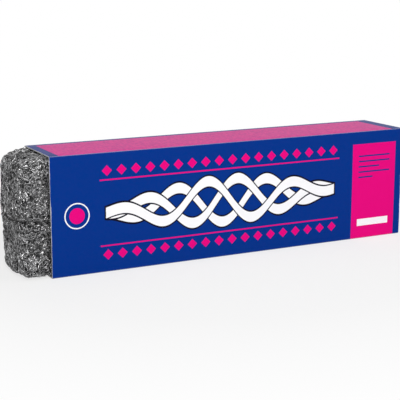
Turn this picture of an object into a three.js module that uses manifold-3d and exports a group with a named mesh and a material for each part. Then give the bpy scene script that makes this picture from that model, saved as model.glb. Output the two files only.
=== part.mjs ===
// Steel wool pad in an open-ended card sleeve.
// Millimetres, +Z up. The pack stands on a narrow side with its front panel towards -Y,
// and the wool stands out of the sleeve at -X. The origin is on the surface that the pack
// stands on, under the middle of the whole pack.

import * as THREE from 'three';
import { RoundedBoxGeometry } from 'three/addons/geometries/RoundedBoxGeometry.js';
import { mergeVertices } from 'three/addons/utils/BufferGeometryUtils.js';
import Module from 'manifold-3d';

const wasm = await Module();
wasm.setup();

// Card sleeve: one sheet folded round the pad and glued to its own flap
const sleeveLength = 240;
const sleeveDepth = 43;
const sleeveHeight = 70;
const cardThickness = 0.5;
const foldInside = 0.3; // inner radius of each fold
const flapHeight = 15; // glue flap inside the back panel, from the underside up
const seamRise = 0.4; // raw lower edge of the back panel above the fold beside it
const foldSegments = 3;

// Wool pad: one band folded once, so that its ends show an upper and a lower lobe
const padClearance = 0.3; // from the wool to the card
const upperProjection = 18; // out of the sleeve at -X
const lowerProjection = 16.6;
const farRecess = 2; // inside the sleeve at +X
const upperRound = 8;
const lowerRound = 6;
const creaseHeight = 33.2; // the fold line between the lobes, above the underside
const lobeOverlap = 3; // how far each lobe runs past the fold line
const lobeSegments = 4;

// The sleeve is moved along X so that the whole pack is centred over the origin
const packShift = Math.max(upperProjection, lowerProjection) / 2;
const halfDepth = sleeveDepth / 2;
const foldRadius = foldInside + cardThickness; // outside of each fold
const seamHeight = foldRadius + seamRise;
const flapFace = halfDepth - cardThickness; // back panel's inside, where the flap is glued

// Materials
const printedCard = new THREE.MeshStandardMaterial({ color: 0x083789, roughness: 0.5, metalness: 0 });
const steelWool = new THREE.MeshStandardMaterial({ color: 0x8b8c8e, roughness: 0.45, metalness: 0.9 });

// The sleeve's section across its length, drawn with Y to the right and Z up

// Outside of the card: the back panel's raw lower edge stands beside the fold into the flap
function outerOutline() {
  const outline = new THREE.Shape();
  outline.moveTo(-halfDepth + foldRadius, 0);
  outline.lineTo(flapFace - foldRadius, 0);
  outline.absarc(flapFace - foldRadius, foldRadius, foldRadius, -Math.PI / 2, 0, false);
  outline.lineTo(flapFace, seamHeight);
  outline.lineTo(halfDepth, seamHeight);
  outline.lineTo(halfDepth, sleeveHeight - foldRadius);
  outline.absarc(halfDepth - foldRadius, sleeveHeight - foldRadius, foldRadius, 0, Math.PI / 2, false);
  outline.lineTo(-halfDepth + foldRadius, sleeveHeight);
  outline.absarc(-halfDepth + foldRadius, sleeveHeight - foldRadius, foldRadius, Math.PI / 2, Math.PI, false);
  outline.lineTo(-halfDepth, foldRadius);
  outline.absarc(-halfDepth + foldRadius, foldRadius, foldRadius, Math.PI, 1.5 * Math.PI, false);
  return outline;
}

// Inside of the card, with the step at the flap's free edge
function innerOutline() {
  const outline = new THREE.Path();
  outline.moveTo(-halfDepth + foldRadius, cardThickness);
  outline.lineTo(flapFace - foldRadius, cardThickness);
  outline.absarc(flapFace - foldRadius, foldRadius, foldInside, -Math.PI / 2, 0, false);
  outline.lineTo(flapFace - cardThickness, flapHeight);
  outline.lineTo(flapFace, flapHeight);
  outline.lineTo(flapFace, sleeveHeight - foldRadius);
  outline.absarc(halfDepth - foldRadius, sleeveHeight - foldRadius, foldInside, 0, Math.PI / 2, false);
  outline.lineTo(-halfDepth + foldRadius, sleeveHeight - cardThickness);
  outline.absarc(-halfDepth + foldRadius, sleeveHeight - foldRadius, foldInside, Math.PI / 2, Math.PI, false);
  outline.lineTo(-halfDepth + cardThickness, foldRadius);
  outline.absarc(-halfDepth + foldRadius, foldRadius, foldInside, Math.PI, 1.5 * Math.PI, false);
  return outline;
}

function makeCardSleeve() {
  const section = outerOutline();
  section.holes.push(innerOutline());
  const geometry = new THREE.ExtrudeGeometry(section, {
    depth: sleeveLength,
    curveSegments: foldSegments,
    bevelEnabled: false,
  });
  const sleeve = new THREE.Mesh(geometry, printedCard);
  sleeve.name = 'card_sleeve';
  // A third of a turn about the space diagonal lays the section in Y and Z and its depth along X
  sleeve.quaternion.setFromAxisAngle(new THREE.Vector3(1, 1, 1).normalize(), (2 * Math.PI) / 3);
  sleeve.position.set(-sleeveLength / 2, 0, 0);
  return sleeve;
}

// Solids for joining, and back

function toSolid(geometry) {
  const bare = geometry.clone();
  bare.deleteAttribute('normal');
  bare.deleteAttribute('uv');
  const merged = mergeVertices(bare);
  return new wasm.Manifold(new wasm.Mesh({
    numProp: 3,
    vertProperties: Float32Array.from(merged.attributes.position.array),
    triVerts: Uint32Array.from(merged.index.array),
  }));
}

function toGeometry(solid) {
  const mesh = solid.getMesh();
  const geometry = new THREE.BufferGeometry();
  geometry.setAttribute('position', new THREE.BufferAttribute(mesh.vertProperties, mesh.numProp));
  geometry.setIndex(new THREE.BufferAttribute(mesh.triVerts, 1));
  geometry.computeVertexNormals();
  return geometry;
}

// One lobe of the folded band: a rounded block that fills the sleeve from front to flap
function makeLobe(projection, bottom, top, round) {
  const near = -sleeveLength / 2 - projection;
  const far = sleeveLength / 2 - farRecess;
  const front = -halfDepth + cardThickness + padClearance;
  const back = flapFace - cardThickness - padClearance;
  const lobe = new RoundedBoxGeometry(far - near, back - front, top - bottom, lobeSegments, round);
  lobe.translate((near + far) / 2, (front + back) / 2, (bottom + top) / 2);
  return toSolid(lobe);
}

function makeWoolPad() {
  const underside = cardThickness + padClearance;
  const upperside = sleeveHeight - cardThickness - padClearance;
  const lower = makeLobe(lowerProjection, underside, creaseHeight + lobeOverlap, lowerRound);
  const upper = makeLobe(upperProjection, creaseHeight - lobeOverlap, upperside, upperRound);
  const pad = new THREE.Mesh(toGeometry(lower.add(upper)), steelWool);
  pad.name = 'wool_pad';
  return pad;
}

const pack = new THREE.Group();
pack.add(makeCardSleeve(), makeWoolPad());
pack.position.x = packShift;

const part = new THREE.Group();
part.add(pack);

export default part;
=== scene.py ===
"""Looks of a steel wool pad in its printed card sleeve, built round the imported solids.

The wool is a dense body with curled strands laid over the two ends that show. The sleeve is a flat
printed sheet that is scored, folded round the wool and glued to its own flap. All sizes are in
metres unless a name says otherwise.
"""

import math

import bpy
import numpy as np
from bpy.props import FloatProperty, FloatVectorProperty, IntProperty, PointerProperty
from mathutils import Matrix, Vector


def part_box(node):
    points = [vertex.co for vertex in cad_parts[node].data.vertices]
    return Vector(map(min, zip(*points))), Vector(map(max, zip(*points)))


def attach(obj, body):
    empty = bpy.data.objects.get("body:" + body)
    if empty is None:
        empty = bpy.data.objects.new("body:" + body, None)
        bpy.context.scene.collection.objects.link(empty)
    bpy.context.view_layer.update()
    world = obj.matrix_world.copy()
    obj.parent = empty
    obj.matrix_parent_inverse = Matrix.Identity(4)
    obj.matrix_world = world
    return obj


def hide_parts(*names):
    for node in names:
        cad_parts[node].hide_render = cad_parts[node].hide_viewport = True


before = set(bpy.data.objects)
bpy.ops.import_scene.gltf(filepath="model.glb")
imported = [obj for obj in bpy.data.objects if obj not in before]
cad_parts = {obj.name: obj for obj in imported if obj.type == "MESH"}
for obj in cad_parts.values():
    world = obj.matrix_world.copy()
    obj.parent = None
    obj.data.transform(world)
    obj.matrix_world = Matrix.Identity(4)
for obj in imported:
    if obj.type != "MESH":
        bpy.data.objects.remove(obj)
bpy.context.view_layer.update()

bl_info = {
    "name": "Steel wool pad in a card sleeve",
    "version": (1, 0, 0),
    "blender": (4, 5, 0),
    "location": "View3D > Sidebar > Wool pack",
    "description": "Builds the wool, the printed sleeve and the stage round the packed solids",
    "category": "Object",
}

MM = 0.001
SLEEVE_LOW, SLEEVE_HIGH = (np.array(corner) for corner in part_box("card_sleeve"))
PAD_LOW, PAD_HIGH = (np.array(corner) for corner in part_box("wool_pad"))

PHOTO_WIDTH_PX = 400
SENSOR_WIDTH_MM = 36.0


# Settings that a user would change

def amount(name, description, default, **unit):
    """A number, with its unit where it has one."""
    return FloatProperty(name=name, description=description, default=default, **unit)


def length(name, description, default_mm):
    """A size in metres, given in millimetres."""
    return amount(name, description, default_mm * MM, unit="LENGTH", precision=5)


def angle(name, description, default_degrees):
    """An angle in radians, given in degrees."""
    return amount(name, description, math.radians(default_degrees), unit="ROTATION")


def whole_number(name, description, default):
    return IntProperty(name=name, description=description, default=default)


def colour(name, description, default):
    """A colour in linear values."""
    return FloatVectorProperty(
        name=name, description=description, default=default, subtype="COLOR", min=0, max=1,
    )


class CardSettings(bpy.types.PropertyGroup):
    """The printed sleeve."""

    thickness: length("Card", "Thickness of the card", 0.5)
    fold_inside: length("Fold", "Inner radius of each fold", 0.3)
    flap_height: length("Glue flap", "Height of the flap that is glued inside the back panel", 15)
    seam_height: length("Seam", "Raw lower edge of the back panel above the underside", 1.2)
    glue_gap: length("Glue", "Gap between the flap and the back panel", 0.02)
    bow: length("Bow", "How far the front and back panels bulge at mid-height", 0.25)
    ground: colour("Ground", "Ink of the ground", (0.0, 0.030, 0.217))
    accent: colour("Accent", "Ink of the fields and rules", (0.72, 0.002, 0.186))
    # The top field's colour is the accent ink lightened with painted sheen
    top_accent_painted_sheen: colour("Top accent", "Ink of the field on the top", (0.90, 0.016, 0.31))
    paper: colour("Paper", "White of the coated side", (0.86, 0.86, 0.87))
    overprint: colour("Overprint", "Faint specks in the inks", (0.30, 0.012, 0.24))
    outline: colour("Outline", "Ink round the white strands", (0.004, 0.005, 0.014))
    board: colour("Board", "Uncoated inside of the card", (0.47, 0.45, 0.42))


class WoolSettings(bpy.types.PropertyGroup):
    """The steel wool."""

    end_inset: length("End inset", "How far the wool's end lies inside its solid", 0.9)
    lower_step: length("Lower step", "How much less the wool stands out just under the crease", 0.3)
    lower_lean: length("Lower lean", "How much further the end falls back at the underside", 2.8)
    mouth_round: length("Mouth round", "Radius of the wool's long edges at the sleeve's mouth", 1.4)
    upper_round: length("Upper round", "Radius of the edges at the wool's ends, at the top", 8.5)
    lower_round: length("Lower round", "Radius of the edges at the wool's ends, at the bottom", 2.3)
    crease_height: length("Crease", "Height of the fold line between the lobes", 33.2)
    crease_depth: length("Crease depth", "Depth of the fold line", 1.2)
    mouth_pinch: length("Pinch", "How far the sleeve's mouth presses the wool in", 1.4)
    top_fall: length("Top fall", "How far the wool's top falls from the mouth to its end", 1.9)
    underside_lift: length("Underside lift", "How far the underside rises past the mouth, at the front", 1.7)
    lump_height: length("Lumps", "Height of the soft lumps in the wool", 0.3)
    body_depth: length("Body depth", "How far the dense body lies under the outside", 1.1)
    body_voxel: length("Body voxel", "Size of the dense body's facets", 2.0)
    near_pieces: whole_number("Near layers", "Layers of strands on the end that stands out", 4)
    layer_locks: whole_number("Locks", "Locks of strands in one layer", 780)
    lock_strands: whole_number("Strands", "Strands in one lock", 3)
    lock_spread: length("Lock spread", "How far the strands of a lock lie apart", 0.28)
    strand_width: length("Strand width", "Width of a strand's ribbon", 0.36)
    strand_step: length("Strand step", "Length of one step along a strand", 0.8)
    far_coarse: amount("Far coarseness", "Size of the far end's strands to the near end's", 1.25)
    seed: whole_number("Seed", "Start of the random draws", 7)
    # A strand's colour runs between these by its tone and by the painted glints
    dark: colour("Dark steel", "Colour of the dullest strands", (0.025, 0.025, 0.026))
    bright: colour("Bright steel", "Colour of the brightest strands", (0.76, 0.76, 0.77))


class StageSettings(bpy.types.PropertyGroup):
    """Camera, light and floor."""

    azimuth: angle("Azimuth", "Camera's turn round the pack, to the right", -26.96)
    elevation: angle("Elevation", "Camera's height above the horizon", 12.08)
    distance: length("Distance", "From the camera to the point that it looks at", 673.7)
    focal_px: amount("Focal length", "In pixels of the photograph", 1093.1)
    look_left: length("Look left", "Point looked at, left of the sleeve's middle", 15.91)
    look_up: length("Look up", "Point looked at, above the floor", 31.41)
    sky: amount("Sky", "Strength of the light from all round", 0.43)
    key: amount("Key", "Power of the lamp in front", 7.4, unit="POWER")
    fill: amount("Fill", "Power of the lamp on the right", 1.2, unit="POWER")


# Shader maths

class Value:
    """A shader socket that Python's operators work on, each adding a Math node."""

    def __init__(self, finish, socket):
        self.finish = finish
        self.socket = socket

    def math(self, operation, first, second=0.0, third=0.0, clamp=False):
        settings = {"operation": operation, "use_clamp": clamp}
        return self.finish.add("ShaderNodeMath", settings, {0: first, 1: second, 2: third})[0]

    def __add__(self, other):
        return self.math("ADD", self, other)

    def __radd__(self, other):
        return self.math("ADD", other, self)

    def __sub__(self, other):
        return self.math("SUBTRACT", self, other)

    def __rsub__(self, other):
        return self.math("SUBTRACT", other, self)

    def __mul__(self, other):
        return self.math("MULTIPLY", self, other)

    def __rmul__(self, other):
        return self.math("MULTIPLY", other, self)

    def __truediv__(self, other):
        return self.math("DIVIDE", self, other)

    def __abs__(self):
        return self.math("ABSOLUTE", self)

    def sine(self):
        return self.math("SINE", self)

    def fraction(self):
        return self.math("FRACT", self)

    def larger(self, other):
        return self.math("MAXIMUM", self, other)

    def above(self, edge, soft):
        """0 below the edge and 1 above it, over a soft width."""
        return self.math("MULTIPLY_ADD", self, 1.0 / soft, 0.5 - edge / soft, clamp=True)

    def below(self, edge, soft):
        """1 below the edge and 0 above it, over a soft width."""
        return self.math("MULTIPLY_ADD", self, -1.0 / soft, 0.5 + edge / soft, clamp=True)

    def between(self, low, high, soft):
        """1 from low to high and 0 outside, over a soft width."""
        return self.above(low, soft) * self.below(high, soft)


class Node:
    """A node whose outputs are read as values."""

    def __init__(self, finish, node):
        self.finish = finish
        self.node = node

    def __getitem__(self, key):
        return Value(self.finish, self.node.outputs[key])


class Finish:
    """One node tree, whose nodes are added by their type, settings and inputs."""

    def __init__(self, tree):
        self.tree = tree

    def add(self, kind, settings, inputs):
        node = self.tree.nodes.new(kind)
        for key, value in settings.items():
            setattr(node, key, value)
        for key, value in inputs.items():
            self.feed(node.inputs[key], value)
        return Node(self, node)

    def feed(self, socket, value):
        if isinstance(value, Value):
            self.tree.links.new(value.socket, socket)
        else:
            socket.default_value = value

    def mix(self, share, under, over):
        """The colour over laid on the colour under, by a share."""
        inputs = {0: share, 6: opaque(under), 7: opaque(over)}
        return self.add("ShaderNodeMix", {"data_type": "RGBA"}, inputs)[2]

    def noise(self, place, size, detail=2.0, rough=0.5):
        """Soft noise with features of about that size, from 0 to 1."""
        inputs = {"Vector": place, "Scale": 1.0 / size, "Detail": detail, "Roughness": rough}
        return self.add("ShaderNodeTexNoise", {}, inputs)["Fac"]

    def object_place(self):
        return self.add("ShaderNodeTexCoord", {}, {})["Object"]

    def seen(self):
        """1 where the camera sees a surface, also by reflection, and 0 where it only sends light."""
        path = self.add("ShaderNodeLightPath", {}, {})
        return path["Is Camera Ray"].larger(path["Is Glossy Ray"]).larger(path["Is Transmission Ray"])

    def bump(self, height, depth, strength):
        inputs = {"Height": height, "Distance": depth, "Strength": strength}
        return self.add("ShaderNodeBump", {}, inputs)["Normal"]


def opaque(value):
    """A colour with full alpha, or a value left as it is."""
    return value if isinstance(value, Value) else (*value, 1.0)


def new_finish(name):
    """A new material with a plain shader, its finish and that shader's inputs."""
    material = bpy.data.materials.new(name)
    material.use_nodes = True
    finish = Finish(material.node_tree)
    return material, finish, material.node_tree.nodes["Principled BSDF"].inputs


# Helpers for objects

def deselect():
    bpy.ops.object.select_all(action="DESELECT")


def only(piece):
    """Makes a piece the only one selected, and active."""
    deselect()
    piece.select_set(True)
    bpy.context.view_layer.objects.active = piece


def apply_modifier(piece, kind, **settings):
    """Adds a modifier to a piece and applies it."""
    only(piece)
    modifier = piece.modifiers.new(kind.title(), kind)
    for key, value in settings.items():
        setattr(modifier, key, value)
    bpy.ops.object.modifier_apply(modifier=modifier.name)


def vertices_of(piece):
    places = np.empty(len(piece.data.vertices) * 3, np.float32)
    piece.data.vertices.foreach_get("co", places)
    return places.reshape(-1, 3).astype(float)


def set_vertices(piece, places):
    piece.data.vertices.foreach_set("co", places.astype(np.float32).ravel())
    piece.data.update()


def numbers(items, name):
    """One whole number of each item, such as a polygon's first loop."""
    found = np.empty(len(items), np.int32)
    items.foreach_get(name, found)
    return found


def hand_over(piece, slot, *replaced):
    """Attaches a finished piece to the root body and hides the parts that it replaces."""
    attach(piece, "root")
    if replaced:
        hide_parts(*replaced)


# The wool's outside

class WoolForm:
    """The wool's outside as a distance, which is below 0 inside the wool."""

    LUMP_WAVES = 14
    LUMP_SHORTEST = 5 * MM
    LUMP_LONGEST = 16 * MM
    PINCH_REACH = 1.3 * MM
    PINCH_FRONT = 1.1  # share of the pinch, which falls off towards the back
    PINCH_BACK = 0.2
    FAR_ROUNDING = 9 * MM
    ROUNDING_POWER = 0.7
    LEAN_POWER = 0.75
    LEAN_MIDDLE = 0.05  # share of the lean midway between front and back
    CREASE_HALF = 0.8 * MM
    CREASE_WANDER = 0.6 * MM
    WANDER_WAVE = np.array([270.0, 190.0, 0.0])  # in radians a metre
    WANDER_START = 1
    SLOPE_STEP = 0.05 * MM

    def __init__(self, wool, crease_half=CREASE_HALF, crease_extra=0.0):
        self.wool = wool
        self.crease_half = crease_half
        self.crease_depth = wool.crease_depth + crease_extra
        self.low = PAD_LOW + (wool.end_inset, 0, 0)
        self.high = PAD_HIGH
        self.mouth = SLEEVE_LOW[0]
        rng = np.random.default_rng(wool.seed)
        ways = rng.normal(size=(3, self.LUMP_WAVES))
        lengths = rng.uniform(self.LUMP_SHORTEST, self.LUMP_LONGEST, self.LUMP_WAVES)
        self.waves = ways / np.linalg.norm(ways, axis=0) * 2 * math.pi / lengths
        self.phases = rng.uniform(0, 2 * math.pi, self.LUMP_WAVES)

    def crease_at(self, places):
        """Height of the fold line, which wanders a little."""
        wander = np.sin(places @ self.WANDER_WAVE + self.WANDER_START)
        return self.wool.crease_height + self.CREASE_WANDER * wander

    def distance(self, places):
        """A rounded block with its lobes, lumps, crease and pinch."""
        wool = self.wool
        x, y, z = places.T
        past_mouth = self.mouth - x
        standing_out = (past_mouth / (self.mouth - self.low[0])).clip(0, 1)
        to_far_end = ((x - self.high[0]) / self.FAR_ROUNDING + 1).clip(0, 1)
        rounding = np.maximum(standing_out, to_far_end)
        height = ((z - self.low[2]) / (self.high[2] - self.low[2])).clip(0, 1)
        end_round = wool.lower_round + (wool.upper_round - wool.lower_round) * height
        edge_round = wool.mouth_round + (end_round - wool.mouth_round) * rounding**self.ROUNDING_POWER

        crease = self.crease_at(places)
        under_crease = ((crease - z) / wool.crease_height).clip(0, 1)
        backness = ((y - self.low[1]) / (self.high[1] - self.low[1])).clip(0, 1)
        to_side = np.abs(2 * backness - 1)
        step = wool.lower_step * ((crease - z) / self.crease_half).clip(0, 1)
        across = self.LEAN_MIDDLE + (1 - self.LEAN_MIDDLE) * to_side**2
        lean = wool.lower_lean * under_crease**self.LEAN_POWER * across
        fall_back = (step + lean) * standing_out
        over_crease = ((z - crease) / (self.high[2] - crease)).clip(0, 1)
        top_fall = wool.top_fall * standing_out * over_crease
        lift = wool.underside_lift * under_crease * standing_out * (1 - backness)
        moved = np.stack([x - fall_back, y, z + top_fall - lift], 1)
        block = block_distance(moved, self.low, self.high, edge_round)

        lumps = np.sin(places @ self.waves + self.phases).sum(-1) / math.sqrt(self.LUMP_WAVES / 2)
        groove = self.crease_depth * np.exp(-(((z - crease) / self.crease_half) ** 2))
        to_front = (self.PINCH_FRONT - backness).clip(self.PINCH_BACK, 1)
        pinch = wool.mouth_pinch * np.exp(-np.abs(past_mouth) / self.PINCH_REACH) * to_front
        return block - wool.lump_height * lumps.clip(-1, 1) + groove + pinch

    def slope(self, places):
        steps = np.eye(3) * self.SLOPE_STEP
        rise = np.stack([self.distance(places + s) - self.distance(places - s) for s in steps], 1)
        return rise / (2 * self.SLOPE_STEP)

    def outward(self, places):
        slope = self.slope(places)
        return slope / np.linalg.norm(slope, axis=1, keepdims=True)

    def settle(self, places, height=0.0, rounds=3):
        """Moves places along the way out until they lie at a height over the outside."""
        for _ in range(rounds):
            slope = self.slope(places)
            off = (self.distance(places) - height) / (slope * slope).sum(1)
            places = places - slope * off[:, None]
        return places


def block_distance(places, low, high, edge_round):
    """Distance to a block with rounded edges."""
    past = np.abs(places - (low + high) / 2) - ((high - low) / 2 - edge_round[:, None])
    outside = np.linalg.norm(np.maximum(past, 0), axis=1)
    return outside + np.minimum(past.max(1), 0) - edge_round


# Strands

STRAND_POINTS = 14
STRAND_SIDES = 3
RIBBON_CORNERS = ((-0.5, -0.15), (0.5, -0.15), (0.0, 0.3))  # in widths of a ribbon
TIP_SHARE = 0.35  # thickness of a strand's tips
THICKNESS = (0.55, 1.25)  # of the thinnest and the thickest strand
INSIDE_REACH = 3 * MM
FAR_REACH = 4 * MM
CARD_CLEARANCE = 0.25 * MM

LEVEL_BIAS = 0.47  # how much more strands lie level than upright
NEARLY_UP = (0.05, 0.1, 1.0)
CURL = (120, 620)  # turn to and fro, in radians a metre
DRIFT = 130  # turn all one way, in radians a metre
BEAT = (0.35, 1.0)  # of the curl, in radians a point
DEPTH_MM = (-1.2, 0.15)  # of a lock over the outside
HEAVE_MM = (0.05, 0.35)  # up and down along a strand
HEAVE_BEAT = 0.9  # in radians a point
TIP_DIVE = 1.1 * MM

TONE_SPREAD = 0.9  # below 1, more strands are very dull or very bright
# Painted shade in the crease: strands near the fold line are darkened, over this width and by this share
CREASE_SHADE = 0.9 * MM
CREASE_PAINTED_SHADE = 0.3
CELL_MARGIN = 0.2  # of a strand's cell in its map


def scatter(rng, count, low, high, end_x, end_only):
    """Random places spread evenly over a block's end and, unless only that is asked for, its four sides."""
    size = high - low
    end, tall, flat = size[1] * size[2], size[0] * size[2], size[0] * size[1]
    areas = np.array([end, 0, 0, 0, 0] if end_only else [end, tall, tall, flat, flat])
    side = rng.choice(5, count, p=areas / areas.sum())
    places = low + rng.random((count, 3)) * size
    places[side == 0, 0] = end_x
    places[side == 1, 1] = low[1]
    places[side == 2, 1] = high[1]
    places[side == 3, 2] = low[2]
    places[side == 4, 2] = high[2]
    return places


def strand_paths(form, rng, starts, wool, step):
    """Curled paths that run over the wool's outside, in locks that keep together."""
    per_lock = wool.lock_strands
    locks = len(starts)
    count = locks * per_lock
    places = np.repeat(starts, per_lock, axis=0) + rng.normal(0, wool.lock_spread, (count, 3))
    places = form.settle(places)

    def shared(values, own):
        """A value for each lock, with each strand a little off by its own."""
        return np.repeat(values, per_lock) + rng.normal(0, own, count)

    any_way = rng.uniform(0, 2 * math.pi, locks)
    heading = shared(any_way - LEVEL_BIAS * np.sin(2 * any_way), 0.14)
    curl = shared(rng.uniform(*CURL, locks), 40)
    drift = shared(rng.normal(0, DRIFT, locks), 25)
    beat = shared(rng.uniform(*BEAT, locks), 0.04)
    phase = shared(rng.uniform(0, 2 * math.pi, locks), 0.25)
    depth = shared(rng.uniform(*DEPTH_MM, locks), 0.1) * MM
    heave = shared(rng.uniform(*HEAVE_MM, locks), 0.05) * MM
    heave_phase = shared(rng.uniform(0, 2 * math.pi, locks), 0.3)

    out = form.outward(places)
    side = np.cross(out, NEARLY_UP)
    side /= np.linalg.norm(side, axis=1, keepdims=True)
    way = side * np.cos(heading)[:, None] + np.cross(out, side) * np.sin(heading)[:, None]
    paths = np.empty((count, STRAND_POINTS, 3))
    for k in range(STRAND_POINTS):
        along = k / (STRAND_POINTS - 1)
        dive = TIP_DIVE * (2 * abs(along - 0.5)) ** 4
        height = depth + heave * np.sin(heave_phase + HEAVE_BEAT * k) - dive
        paths[:, k] = places + out * height[:, None]
        turn = step * (curl * np.sin(phase + beat * k) + drift)
        way = way * np.cos(turn)[:, None] + np.cross(out, way) * np.sin(turn)[:, None]
        places = form.settle(places + way * step, rounds=1)
        out = form.outward(places)
        way = way - out * (way * out).sum(1, keepdims=True)
        way /= np.linalg.norm(way, axis=1, keepdims=True)
    return paths


def keep_clear(paths, card):
    """Keeps strands off the card, inside the sleeve and at its mouth, and off the floor."""
    wall = card + CARD_CLEARANCE
    inside = paths[..., 0] > SLEEVE_LOW[0] - CARD_CLEARANCE
    low = SLEEVE_LOW + wall
    high = SLEEVE_HIGH - wall - (0, card, 0)
    for axis in (1, 2):
        held = paths[..., axis].clip(low[axis], high[axis])
        paths[..., axis] = np.where(inside, held, paths[..., axis])
    paths[..., 2] = np.maximum(paths[..., 2], CARD_CLEARANCE)
    return paths


def ribbon_profile(width):
    """A flat three-sided section for the strands."""
    section = bpy.data.curves.new("ribbon_profile", "CURVE")
    line = section.splines.new("POLY")
    line.points.add(STRAND_SIDES - 1)
    for point, (across, up) in zip(line.points, RIBBON_CORNERS):
        point.co = (across * width, up * width, 0, 1)
    line.use_cyclic_u = True
    profile = bpy.data.objects.new("ribbon_profile", section)
    bpy.context.scene.collection.objects.link(profile)
    return profile


def sweep_strands(name, paths, thickness, profile):
    """One mesh of closed ribbons that follow the paths."""
    lines = bpy.data.curves.new(name, "CURVE")
    lines.dimensions = "3D"
    lines.bevel_mode = "OBJECT"
    lines.bevel_object = profile
    taper = np.ones(STRAND_POINTS)
    taper[[0, -1]] = TIP_SHARE
    ones = np.ones((STRAND_POINTS, 1))
    for path, thick in zip(paths, thickness):
        line = lines.splines.new("POLY")
        line.points.add(STRAND_POINTS - 1)
        line.points.foreach_set("co", np.hstack([path, ones]).ravel())
        line.points.foreach_set("radius", taper * thick)
    strands = bpy.data.objects.new(name, lines)
    bpy.context.scene.collection.objects.link(strands)
    only(strands)
    bpy.ops.object.convert(target="MESH")
    bpy.ops.object.mode_set(mode="EDIT")
    bpy.ops.mesh.select_mode(type="EDGE")
    bpy.ops.mesh.select_non_manifold(extend=False)
    bpy.ops.mesh.fill_holes(sides=STRAND_SIDES)
    bpy.ops.mesh.select_all(action="SELECT")
    bpy.ops.mesh.normals_make_consistent(inside=False)
    bpy.ops.object.mode_set(mode="OBJECT")
    bpy.ops.object.shade_smooth()
    return bpy.context.object


def twisted_tones(rng, count):
    """Tones along each strand: a ribbon shows another tone past its twist."""
    before, after = rng.beta(TONE_SPREAD, TONE_SPREAD, (2, count, 1))
    twist = rng.uniform(0, STRAND_POINTS, (count, 1))
    return np.where(np.arange(STRAND_POINTS) < twist, before, after)


def tone_strands(strands, tones):
    """Stores the tones along each strand, and lays each strand in its own cell of a map."""
    mesh = strands.data
    per_strand = STRAND_POINTS * STRAND_SIDES
    tone = mesh.attributes.new("tone", "FLOAT", "POINT")
    tone.data.foreach_set("value", np.repeat(tones, STRAND_SIDES, axis=1).astype(np.float32).ravel())
    vertex = numbers(mesh.loops, "vertex_index")
    strand = vertex // per_strand
    ring = (vertex % per_strand) // STRAND_SIDES
    side = vertex % STRAND_SIDES
    first = numbers(mesh.polygons, "loop_start")
    total = numbers(mesh.polygons, "loop_total")
    last_side = np.repeat(np.maximum.reduceat(side, first) == STRAND_SIDES - 1, total)
    first_side = np.repeat(np.minimum.reduceat(side, first) == 0, total)
    # A face from the last side to the first runs on to the cell's far edge
    side = np.where(last_side & first_side & (side == 0), STRAND_SIDES, side)
    cells = math.ceil(math.sqrt(len(tones)))
    used = 1 - 2 * CELL_MARGIN
    u = (strand % cells + CELL_MARGIN + used * ring / (STRAND_POINTS - 1)) / cells
    v = (strand // cells + CELL_MARGIN + used * side / STRAND_SIDES) / cells
    while mesh.uv_layers:
        mesh.uv_layers.remove(mesh.uv_layers[0])
    layer = mesh.uv_layers.new(name="OFBake")
    layer.uv.foreach_set("vector", np.stack([u, v], 1).astype(np.float32).ravel())


# Finishes of the wool

def steel_strand_finish(wool):
    """Drawn steel: strands have their own tones, with painted glints: bright stretches along them."""
    material, finish, shader = new_finish("steel_strands")
    tone = finish.add("ShaderNodeAttribute", {"attribute_name": "tone"}, {})["Fac"]
    # Painted glints: noise along each strand lightens the base colour in short stretches
    painted_glint = finish.noise(finish.object_place(), 1.3 * MM, detail=1.0)
    share = (tone * 0.5 + painted_glint).above(0.835, 0.47)
    finish.feed(shader["Base Color"], finish.mix(share, wool.dark, wool.bright))
    finish.feed(shader["Roughness"], 0.37 - 0.13 * tone)
    shader["Metallic"].default_value = 1.0
    return material


def wool_body_finish(wool):
    """Painted shade: a dark body that stands in for the shaded depth between the strands."""
    material, finish, shader = new_finish("painted_wool_shade")
    place = finish.object_place()
    tangle = finish.noise(place, 0.7 * MM, detail=3.0, rough=0.7)
    cloud = finish.noise(place, 5 * MM)
    # Painted shade: both colours are dark, the darkest in the noise's hollows
    hollow_painted_shade, raised_painted_shade = (0.03, 0.03, 0.031), (0.3, 0.3, 0.305)
    share = (tangle * 0.75 + cloud * 0.25).above(0.52, 0.3)
    finish.feed(shader["Base Color"], finish.mix(share, hollow_painted_shade, raised_painted_shade))
    finish.feed(shader["Roughness"], 0.75 - 0.25 * tangle)
    finish.feed(shader["Normal"], finish.bump(tangle, 0.5 * MM, 0.9))
    shader["Metallic"].default_value = 0.7
    return material


# The sleeve's sheet

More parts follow.
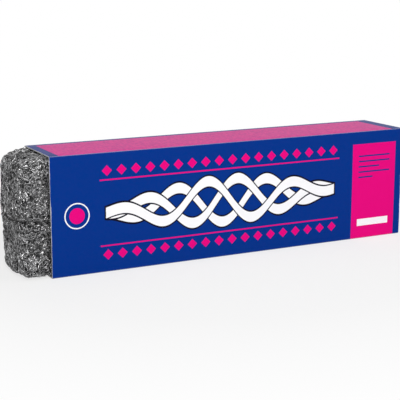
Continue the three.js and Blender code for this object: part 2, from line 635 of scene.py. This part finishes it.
class Sheet:
    """The flat blank and how it is folded: flap, underside, front, top and back, in that order."""

    FOLD_ROWS = 6
    PANEL_ROW = 7.5 * MM
    COLUMN = 8 * MM
    END_WAVE = 0.08 * MM
    END_REACH = 12 * MM
    WAVE_STEP = 9 * MM  # along the sheet, for one radian of the wave

    def __init__(self, card):
        self.card = card
        self.middle_radius = card.fold_inside + card.thickness / 2
        self.length = SLEEVE_HIGH[0] - SLEEVE_LOW[0]
        half = card.thickness / 2
        bend = self.middle_radius
        flap_y = SLEEVE_HIGH[1] - card.thickness - half - card.glue_gap
        low_y, high_y = SLEEVE_LOW[1] + half, SLEEVE_HIGH[1] - half
        low_z, high_z = SLEEVE_LOW[2] + half, SLEEVE_HIGH[2] - half
        self.start = np.array([flap_y, card.flap_height])
        self.panels = (
            card.flap_height - low_z - bend,
            flap_y - low_y - 2 * bend,
            high_z - low_z - 2 * bend,
            high_y - low_y - 2 * bend,
            high_z - bend - card.seam_height,
        )
        self.arc = bend * math.pi / 2
        self.total = sum(self.panels) + 4 * self.arc

    def fold(self, number):
        """Distance along the sheet to the middle of a fold, from 0, the flap's, to 3."""
        return sum(self.panels[: number + 1]) + (number + 0.5) * self.arc

    def rows(self):
        """Where the sheet is cut across into rows of faces."""
        at = 0.0
        found = []
        for number, panel in enumerate(self.panels):
            count = max(1, round(panel / self.PANEL_ROW))
            found += [at + panel * k / count for k in range(count)]
            at += panel
            if number < 4:
                found += [at + self.arc * k / self.FOLD_ROWS for k in range(self.FOLD_ROWS)]
                at += self.arc
        return found[1:]

    def wrapped(self, along):
        """Place in Y and Z, and way out of the sleeve, of a distance along the sheet."""
        place = self.start.copy()
        heading = -math.pi / 2
        for number, panel in enumerate(self.panels):
            way = np.array([math.cos(heading), math.sin(heading)])
            out = np.array([-way[1], way[0]])
            if along <= panel or number == 4:
                return place + way * along, out
            place = place + way * panel
            along -= panel
            centre = place - out * self.middle_radius
            turn = -math.pi / 2 * min(along / self.arc, 1.0)
            spun = np.array([
                out[0] * math.cos(turn) - out[1] * math.sin(turn),
                out[0] * math.sin(turn) + out[1] * math.cos(turn),
            ])
            place = centre + spun * self.middle_radius
            if along <= self.arc:
                return place, spun
            along -= self.arc
            heading -= math.pi / 2


def cut_blank(sheet):
    """The flat sheet with its length along X, scored into rows and columns."""
    deselect()
    bpy.ops.mesh.primitive_plane_add(size=1, calc_uvs=True)
    blank = bpy.context.object
    blank.name = "printed_sleeve"
    blank.scale = (sheet.length, sheet.total, 1)
    bpy.ops.object.transform_apply(location=False, rotation=False, scale=True)
    columns = round(sheet.length / sheet.COLUMN)
    bpy.ops.object.mode_set(mode="EDIT")
    for row in sheet.rows():
        bpy.ops.mesh.select_all(action="SELECT")
        bpy.ops.mesh.bisect(plane_co=(0, row - sheet.total / 2, 0), plane_no=(0, 1, 0))
    for column in range(1, columns):
        bpy.ops.mesh.select_all(action="SELECT")
        bpy.ops.mesh.bisect(plane_co=(sheet.length * (column / columns - 0.5), 0, 0), plane_no=(1, 0, 0))
    bpy.ops.object.mode_set(mode="OBJECT")
    blank.data.uv_layers[0].name = "Sheet"
    return blank


def fold_blank(blank, sheet):
    """Wraps the sheet round the wool, with a slight bulge of the tall panels and a wave at the ends."""
    flat = vertices_of(blank)
    height = SLEEVE_HIGH[2] - SLEEVE_LOW[2]
    for place in flat:
        x = place[0]
        along = place[1] + sheet.total / 2
        (y, z), out = sheet.wrapped(along)
        swell = sheet.card.bow * math.sin(math.pi * min(max(z / height, 0), 1))
        to_end = sheet.length / 2 - abs(x)
        fading = sheet.END_WAVE * math.exp(-to_end / sheet.END_REACH)
        ripple = fading * math.sin(along / sheet.WAVE_STEP + math.copysign(1, x))
        standing = abs(out[0])
        y += out[0] * (swell + ripple * standing)
        place[:] = (SLEEVE_LOW[0] + sheet.length / 2 + x, y, z)
    set_vertices(blank, flat)


class BakeMap:
    """Heights in the sleeve's second map, from 0 to 1."""

    PRINTED_HEIGHT = 0.86
    BOARD_START = 0.88
    BOARD_HEIGHT = 0.07
    LEFT_END, RIGHT_END = 0.968, 0.976
    FLAP_EDGE, SEAM_EDGE = 0.984, 0.992
    EDGE_HEIGHT = 0.006
    END_WIDTH = 1e-4  # faces narrower than this lie on a cut end


def lay_bake_map(sleeve):
    """A second map: the printed side fills most of it, then the inside, then the cut edges."""
    bake = BakeMap
    mesh = sleeve.data
    sheet_uv = np.empty(len(mesh.loops) * 2, np.float32)
    mesh.uv_layers["Sheet"].uv.foreach_get("vector", sheet_uv)
    u, v = sheet_uv.reshape(-1, 2).T.copy()
    vertex = numbers(mesh.loops, "vertex_index")
    slot = np.repeat(numbers(mesh.polygons, "material_index"), numbers(mesh.polygons, "loop_total"))
    printed = np.zeros(len(mesh.vertices), bool)
    printed[vertex[slot == 0]] = True
    edge_side = np.where(printed[vertex], bake.EDGE_HEIGHT, 0.0)
    faces = [slice(face.loop_start, face.loop_start + face.loop_total) for face in mesh.polygons]
    ends = np.array([np.ptp(u[face]) < bake.END_WIDTH for face in faces])
    on_end = np.repeat(ends, numbers(mesh.polygons, "loop_total"))
    end_band = np.where(u < 0.5, bake.LEFT_END, bake.RIGHT_END)
    long_band = np.where(v < 0.5, bake.FLAP_EDGE, bake.SEAM_EDGE)
    edge = np.where(on_end, end_band, long_band) + edge_side
    outside = v * bake.PRINTED_HEIGHT
    inside = bake.BOARD_START + v * bake.BOARD_HEIGHT
    map_u = np.where((slot == 2) & on_end, v, u)
    map_v = np.select([slot == 0, slot == 1], [outside, inside], edge)
    layer = mesh.uv_layers.new(name="OFBake")
    layer.uv.foreach_set("vector", np.stack([map_u, map_v], 1).astype(np.float32).ravel())


# The sleeve's print, in millimetres on the flat sheet

class Print:
    """Masks of printed shapes, where a is along the sheet from its left end and b up a panel."""

    SOFT = 0.16

    def __init__(self, finish, a, b):
        self.finish = finish
        self.a = a
        self.b = b

    def field(self, left, right, bottom, top):
        return self.a.between(left, right, self.SOFT) * self.b.between(bottom, top, self.SOFT)

    def away_from(self, centre_a, centre_b):
        across = self.a - centre_a
        up = self.b - centre_b
        square = across * across + up * up
        return square.math("SQRT", square)

    def disc(self, centre_a, centre_b, radius):
        return self.away_from(centre_a, centre_b).below(radius, self.SOFT)

    def ring(self, centre_a, centre_b, radius, width):
        return abs(self.away_from(centre_a, centre_b) - radius).below(width / 2, self.SOFT)

    def strand(self, left, right, middle, swing, wave, phase, half):
        """A wavy band whose swing dies away at both ends."""
        share = (self.a - left) * (math.pi / (right - left))
        line = share.sine() * (self.a * (2 * math.pi / wave) + phase).sine() * swing + middle
        return abs(self.b - line).below(half, self.SOFT) * self.a.between(left, right, self.SOFT)

    def lozenges(self, left, pitch, count, middle, half):
        """A row of squares that stand on their corners."""
        across = abs(((self.a - left) / pitch).fraction() - 0.5) * pitch
        row = self.a.between(left, left + pitch * count, self.SOFT)
        return (across + abs(self.b - middle)).below(half, self.SOFT) * row


class FrontLayout:
    """Places on the front panel, from the sleeve's left end and the lower fold."""

    MIDDLE = 34.5
    TWIST_LEFT, TWIST_RIGHT = 33, 188
    TWIST_STRANDS = 3
    SWING = 13
    WAVE = 62
    STRAND_HALF = 3.1
    OUTLINE = 1.0
    OUTLINE_END = 0.9
    ROW_LEFT = 29.5
    ROW_PITCH = 9
    ROW_COUNT = 18
    ROW_AWAY = 24.5  # from the middle
    LOZENGE_HALF = 3.1
    RULE_AWAY = 19.2
    RULE_HALF = 0.4
    SPOT = 15.5
    RING_RADIUS, RING_WIDTH = 7.2, 0.7
    DISC_RADIUS = 4.6
    PANEL = (201.9, 235.0, -2, 61.4)  # left, right, bottom and top
    BAR = (206.5, 230.5, 8, 12.5)
    LINES_LEFT, LINES_TOP = 206.5, 54
    LINE_PITCH = 3.4
    LINE_HEIGHT = 0.9
    LINE_LENGTHS = (24, 24, 16, 24, 11)


def front_print(finish, card, colours, a, b):
    """Front panel: a twist of white strands between two rows, a spot, and a panel at the right end."""
    lay = FrontLayout
    shapes = Print(finish, a, b)
    outer_left, outer_right = lay.TWIST_LEFT - lay.OUTLINE_END, lay.TWIST_RIGHT + lay.OUTLINE_END
    for turn in range(lay.TWIST_STRANDS):
        wave = (lay.MIDDLE, lay.SWING, lay.WAVE, turn * 2 * math.pi / lay.TWIST_STRANDS)
        edge = shapes.strand(outer_left, outer_right, *wave, lay.STRAND_HALF + lay.OUTLINE)
        core = shapes.strand(lay.TWIST_LEFT, lay.TWIST_RIGHT, *wave, lay.STRAND_HALF)
        colours = finish.mix(edge, colours, card.outline)
        colours = finish.mix(core, colours, card.paper)
    row_right = lay.ROW_LEFT + lay.ROW_PITCH * lay.ROW_COUNT
    for side in (-1, 1):
        row_at = lay.MIDDLE + side * lay.ROW_AWAY
        rule_at = lay.MIDDLE + side * lay.RULE_AWAY
        row = shapes.lozenges(lay.ROW_LEFT, lay.ROW_PITCH, lay.ROW_COUNT, row_at, lay.LOZENGE_HALF)
        rule = shapes.field(lay.ROW_LEFT, row_right, rule_at - lay.RULE_HALF, rule_at + lay.RULE_HALF)
        colours = finish.mix(row.larger(rule), colours, card.accent)
    ring = shapes.ring(lay.SPOT, lay.MIDDLE, lay.RING_RADIUS, lay.RING_WIDTH)
    colours = finish.mix(ring, colours, card.paper)
    colours = finish.mix(shapes.disc(lay.SPOT, lay.MIDDLE, lay.DISC_RADIUS), colours, card.accent)
    colours = finish.mix(shapes.field(*lay.PANEL), colours, card.accent)
    colours = finish.mix(shapes.field(*lay.BAR), colours, card.paper)
    for number, reach in enumerate(lay.LINE_LENGTHS):
        top = lay.LINES_TOP - lay.LINE_PITCH * number
        line = shapes.field(lay.LINES_LEFT, lay.LINES_LEFT + reach, top - lay.LINE_HEIGHT, top)
        colours = finish.mix(line, colours, card.ground)
    return colours


TOP_FIELD = (5.5, 232.0, 0.1, 38.5)  # left, right, front and back
MOTTLE_STRETCH = (1.0, 0.6, 1.0)
GROUND_SPECKLE = 0.01
TOP_SPECKLE = 0.4
END_WEAR = 0.85  # share of white paper where the cut ends are worn
FOLD_CRACK_AND_HIGHLIGHT = 0.26  # and where the folds are cracked, which also paints a highlight along each fold


def printed_card_finish(card, sheet):
    """Coated card: flat inks with a faint mottle, cracked at the folds with a painted highlight there, and
    worn at the cut ends.
    """
    material, finish, shader = new_finish("printed_card")
    uv = finish.add("ShaderNodeUVMap", {"uv_map": "Sheet"}, {})["UV"]
    spot = finish.add("ShaderNodeSeparateXYZ", {}, {"Vector": uv})
    a = spot["X"] * (sheet.length / MM)
    s = spot["Y"] * (sheet.total / MM)
    folds = [sheet.fold(number) / MM for number in range(4)]
    place = finish.object_place()

    b = s - folds[1]
    front = s.between(folds[1], folds[2], 0.05)
    colours = finish.mix(front, card.ground, front_print(finish, card, card.ground, a, b))
    top = Print(finish, a, s - folds[2])
    top_field = top.field(*TOP_FIELD)
    # Painted sheen: the top field takes a lighter copy of the accent ink
    colours = finish.mix(top_field, colours, card.top_accent_painted_sheen)

    stretched = finish.add("ShaderNodeVectorMath", {"operation": "MULTIPLY"}, {0: place, 1: MOTTLE_STRETCH})
    mottle = finish.noise(stretched["Vector"], 1.5 * MM, detail=3.0, rough=0.65)
    speckle = mottle.above(0.5, 0.3)
    colours = finish.mix(speckle * (GROUND_SPECKLE + TOP_SPECKLE * top_field), colours, card.overprint)
    grain = finish.noise(place, 0.5 * MM, detail=2.0)
    fine = finish.noise(place, 0.2 * MM, detail=2.0)
    patch = finish.noise(place, 11 * MM, detail=1.0)
    to_end = a.math("MINIMUM", a, sheet.length / MM - a)
    worn = (to_end + grain * 0.5 + patch).below(0.85, 0.3) * END_WEAR
    # Cracked ink at the folds, which also stands as a painted highlight along each fold
    for fold in folds:
        crack_and_highlight = (abs(s - fold) + fine * 0.7).below(0.5, 0.3) * FOLD_CRACK_AND_HIGHLIGHT
        worn = worn.larger(crack_and_highlight)
    # Wear at the ends, and the cracks with their painted fold highlight, show the white paper
    colours = finish.mix(worn, colours, card.paper)
    finish.feed(shader["Base Color"], colours)
    finish.feed(shader["Roughness"], 0.32 + 0.1 * mottle + 0.25 * worn)
    finish.feed(shader["Normal"], finish.bump(grain + mottle, 0.02 * MM, 0.35))
    shader["Specular IOR Level"].default_value = 0.03
    shader["Sheen Weight"].default_value = 0.06
    shader["Sheen Roughness"].default_value = 0.4
    shader["Sheen Tint"].default_value = (0.4, 0.45, 1.0, 1.0)
    return material


def raw_board_finish(card):
    """Uncoated grey board with flecks of fibre."""
    material, finish, shader = new_finish("raw_board")
    place = finish.object_place()
    fibre = finish.noise(place, 0.8 * MM, detail=4.0, rough=0.7)
    cloud = finish.noise(place, 9 * MM)
    share = (fibre * 0.7 + cloud * 0.3).above(0.5, 0.5)
    pale = tuple(min(1.0, 1.25 * c) for c in card.board)
    finish.feed(shader["Base Color"], finish.mix(share, card.board, pale))
    finish.feed(shader["Roughness"], 0.8 + 0.15 * fibre)
    finish.feed(shader["Normal"], finish.bump(fibre, 0.03 * MM, 0.4))
    shader["Specular IOR Level"].default_value = 0.2
    return material


def cut_edge_finish(card):
    """The pale cut edge of the card, with its plies."""
    material, finish, shader = new_finish("cut_edge")
    place = finish.object_place()
    fibre = finish.noise(place, 0.3 * MM, detail=3.0, rough=0.7)
    grey = tuple(0.72 * c for c in card.paper)
    finish.feed(shader["Base Color"], finish.mix(fibre.above(0.5, 0.4), grey, card.paper))
    finish.feed(shader["Roughness"], 0.75 + 0.15 * fibre)
    shader["Specular IOR Level"].default_value = 0.2
    return material


# Operators, one for each piece or group of pieces

class WOOLPACK_OT_press_body(bpy.types.Operator):
    """Make the dense body of the wool from its two folded lobes"""

    bl_idname = "woolpack.press_body"
    bl_label = "Press wool body"
    EDGE_ROUND = 4 * MM
    EDGE_SEGMENTS = 4
    CREASE_HALF = 2.4 * MM
    CREASE_EXTRA = 0.8 * MM

    def execute(self, context):
        wool = context.scene.woolpack_wool
        form = WoolForm(wool, self.CREASE_HALF, self.CREASE_EXTRA)
        middle = (PAD_LOW + PAD_HIGH) / 2
        deselect()
        bpy.ops.mesh.primitive_cube_add(size=1, location=middle)
        body = context.object
        body.name = "wool_body"
        body.scale = PAD_HIGH - PAD_LOW
        bpy.ops.object.transform_apply(location=True, rotation=False, scale=True)
        bpy.ops.object.mode_set(mode="EDIT")
        bpy.ops.mesh.select_all(action="SELECT")
        bpy.ops.mesh.bevel(offset=self.EDGE_ROUND, segments=self.EDGE_SEGMENTS, affect="EDGES")
        bpy.ops.object.mode_set(mode="OBJECT")
        apply_modifier(body, "REMESH", mode="VOXEL", voxel_size=wool.body_voxel)
        set_vertices(body, form.settle(vertices_of(body), -wool.body_depth))
        only(body)
        bpy.ops.object.shade_smooth()
        body.data.materials.clear()
        body.data.materials.append(wool_body_finish(wool))
        hand_over(body, "steel_wool", "wool_pad")
        return {"FINISHED"}


class WOOLPACK_OT_lay_strands(bpy.types.Operator):
    """Lay curled steel strands over the ends of the wool that show"""

    bl_idname = "woolpack.lay_strands"
    bl_label = "Lay strands"

    def execute(self, context):
        wool = context.scene.woolpack_wool
        card = context.scene.woolpack_card
        form = WoolForm(wool)
        finish = steel_strand_finish(wool)
        profile = ribbon_profile(wool.strand_width)
        near_high = PAD_HIGH.copy()
        near_high[0] = SLEEVE_LOW[0] + INSIDE_REACH
        far_low = PAD_LOW.copy()
        far_low[0] = PAD_HIGH[0] - FAR_REACH
        near_names = [f"wool_strands_{number + 1}" for number in range(wool.near_pieces)]
        layers = [(name, PAD_LOW, near_high, PAD_LOW[0], 1.0) for name in near_names]
        layers.append(("wool_strands_far", far_low, PAD_HIGH, PAD_HIGH[0], wool.far_coarse))
        for number, (name, low, high, end_x, coarse) in enumerate(layers):
            rng = np.random.default_rng((wool.seed, number))
            end_only = number == wool.near_pieces
            starts = form.settle(scatter(rng, wool.layer_locks, low, high, end_x, end_only))
            paths = strand_paths(form, rng, starts, wool, wool.strand_step * coarse)
            paths = keep_clear(paths, card.thickness)
            thickness = rng.uniform(*THICKNESS, len(paths)) * coarse
            # Painted shade: strands are darkened where they run through the crease
            crease_shade_mask = np.exp(-(((paths[..., 2] - form.crease_at(paths)) / CREASE_SHADE) ** 2))
            tones = twisted_tones(rng, len(paths)) * (1 - CREASE_PAINTED_SHADE * crease_shade_mask)
            strands = sweep_strands(name, paths, thickness, profile)
            tone_strands(strands, tones)
            strands.data.materials.clear()
            strands.data.materials.append(finish)
            hand_over(strands, "steel_wool")
        bpy.data.objects.remove(profile)
        return {"FINISHED"}


class WOOLPACK_OT_fold_sleeve(bpy.types.Operator):
    """Cut, score, fold and glue the printed card sleeve"""

    bl_idname = "woolpack.fold_sleeve"
    bl_label = "Fold sleeve"

    def execute(self, context):
        card = context.scene.woolpack_card
        sheet = Sheet(card)
        sleeve = cut_blank(sheet)
        fold_blank(sleeve, sheet)
        finishes = (printed_card_finish(card, sheet), raw_board_finish(card), cut_edge_finish(card))
        for finish in finishes:
            sleeve.data.materials.append(finish)
        apply_modifier(
            sleeve, "SOLIDIFY", thickness=card.thickness, offset=0.0,
            use_even_offset=True, material_offset=1, material_offset_rim=2,
        )
        lay_bake_map(sleeve)
        only(sleeve)
        bpy.ops.object.shade_smooth_by_angle(angle=math.radians(35))
        hand_over(sleeve, "printed_card", "card_sleeve")
        return {"FINISHED"}


class WOOLPACK_OT_set_stage(bpy.types.Operator):
    """Set the floor, the lamps, the sky and the camera"""

    bl_idname = "woolpack.set_stage"
    bl_label = "Set stage"
    FLOOR_SIZE = 24.0
    SHADOW_NEAR = 0.14
    SHADOW_FAR = 0.3
    SHADOW_FADE = 0.7  # share of the shadow that is taken out near the pack; further off all of it is
    KEY_SIZE = 0.4
    KEY_PLACE = (math.radians(-16), math.radians(24), 1.1)  # azimuth, elevation and distance
    FILL_SIZE = 0.6
    FILL_PLACE = (math.radians(48), math.radians(30), 1.2)
    CLIP_START = 0.01

    def execute(self, context):
        stage = context.scene.woolpack_stage
        context.scene.view_settings.view_transform = "Standard"
        self.lay_floor()
        self.light_sky(context.scene, stage)
        sleeve_middle = (SLEEVE_LOW + SLEEVE_HIGH) / 2
        look_at = np.array([sleeve_middle[0] - stage.look_left, 0, stage.look_up])
        self.hang_lamp("key_lamp", stage.key, self.KEY_SIZE, look_at, *self.KEY_PLACE)
        self.hang_lamp("fill_lamp", stage.fill, self.FILL_SIZE, look_at, *self.FILL_PLACE)
        self.aim_camera(context, stage, look_at)
        return {"FINISHED"}

    def lay_floor(self):
        deselect()
        bpy.ops.mesh.primitive_plane_add(size=self.FLOOR_SIZE)
        floor = bpy.context.object
        floor.name = "floor"
        material, finish, shader = new_finish("pale_floor")
        shader["Base Color"].default_value = (0.9, 0.9, 0.9, 1)
        shader["Roughness"].default_value = 0.9
        shader["Specular IOR Level"].default_value = 0.0
        place = finish.object_place()
        away = finish.add("ShaderNodeVectorMath", {"operation": "LENGTH"}, {0: place})["Value"]
        middle = (self.SHADOW_NEAR + self.SHADOW_FAR) / 2
        far = away.above(middle, self.SHADOW_FAR - self.SHADOW_NEAR)
        clean = far * (1 - self.SHADOW_FADE) + self.SHADOW_FADE
        glow = finish.add("ShaderNodeEmission", {}, {"Strength": 1.0})
        lit = material.node_tree.nodes["Principled BSDF"].outputs[0]
        inputs = {0: finish.seen() * clean, 1: Value(finish, lit), 2: glow[0]}
        surface = finish.add("ShaderNodeMixShader", {}, inputs)[0]
        finish.feed(material.node_tree.nodes["Material Output"].inputs["Surface"], surface)
        floor.data.materials.append(material)

    def light_sky(self, scene, stage):
        world = bpy.data.worlds.new("pale_sky")
        world.use_nodes = True
        scene.world = world
        sky = Finish(world.node_tree)
        background = world.node_tree.nodes["Background"].inputs
        background["Color"].default_value = (1, 1, 1, 1)
        sky.feed(background["Strength"], sky.seen() * (1.0 - stage.sky) + stage.sky)

    def hang_lamp(self, name, power, size, look_at, azimuth, elevation, distance):
        deselect()
        bpy.ops.object.light_add(type="AREA", location=look_at + distance * seen_from(azimuth, elevation))
        lamp = bpy.context.object
        lamp.name = name
        lamp.data.energy = power
        lamp.data.size = size
        lamp.rotation_euler = (math.pi / 2 - elevation, 0, azimuth)

    def aim_camera(self, context, stage, look_at):
        deselect()
        where = look_at + stage.distance * seen_from(stage.azimuth, stage.elevation)
        bpy.ops.object.camera_add(location=where, rotation=(math.pi / 2 - stage.elevation, 0, stage.azimuth))
        camera = context.object
        camera.data.sensor_width = SENSOR_WIDTH_MM
        camera.data.lens = stage.focal_px * SENSOR_WIDTH_MM / PHOTO_WIDTH_PX
        camera.data.clip_start = self.CLIP_START
        context.scene.camera = camera


def seen_from(azimuth, elevation):
    """The way from the object to a camera or lamp."""
    flat = math.cos(elevation)
    return np.array([math.sin(azimuth) * flat, -math.cos(azimuth) * flat, math.sin(elevation)])


class WOOLPACK_PT_panel(bpy.types.Panel):
    """Settings and steps of the wool pack"""

    bl_idname = "WOOLPACK_PT_panel"
    bl_label = "Wool pack"
    bl_space_type = "VIEW_3D"
    bl_region_type = "UI"
    bl_category = "Wool pack"

    def draw(self, context):
        for name in SETTINGS:
            box = self.layout.box()
            settings = getattr(context.scene, name)
            for key in settings.__annotations__:
                box.prop(settings, key)
        for step in STEPS:
            self.layout.operator(step.bl_idname)


SETTINGS = {
    "woolpack_card": CardSettings,
    "woolpack_wool": WoolSettings,
    "woolpack_stage": StageSettings,
}
STEPS = (
    WOOLPACK_OT_set_stage,
    WOOLPACK_OT_press_body,
    WOOLPACK_OT_lay_strands,
    WOOLPACK_OT_fold_sleeve,
)
CLASSES = (*SETTINGS.values(), *STEPS, WOOLPACK_PT_panel)


def register():
    for item in CLASSES:
        bpy.utils.register_class(item)
    for name, group in SETTINGS.items():
        setattr(bpy.types.Scene, name, PointerProperty(type=group))


def unregister():
    for name in SETTINGS:
        delattr(bpy.types.Scene, name)
    for item in reversed(CLASSES):
        bpy.utils.unregister_class(item)


def main():
    register()
    bpy.ops.woolpack.set_stage()
    bpy.ops.woolpack.press_body()
    bpy.ops.woolpack.lay_strands()
    bpy.ops.woolpack.fold_sleeve()


if __name__ == "__main__":
    main()
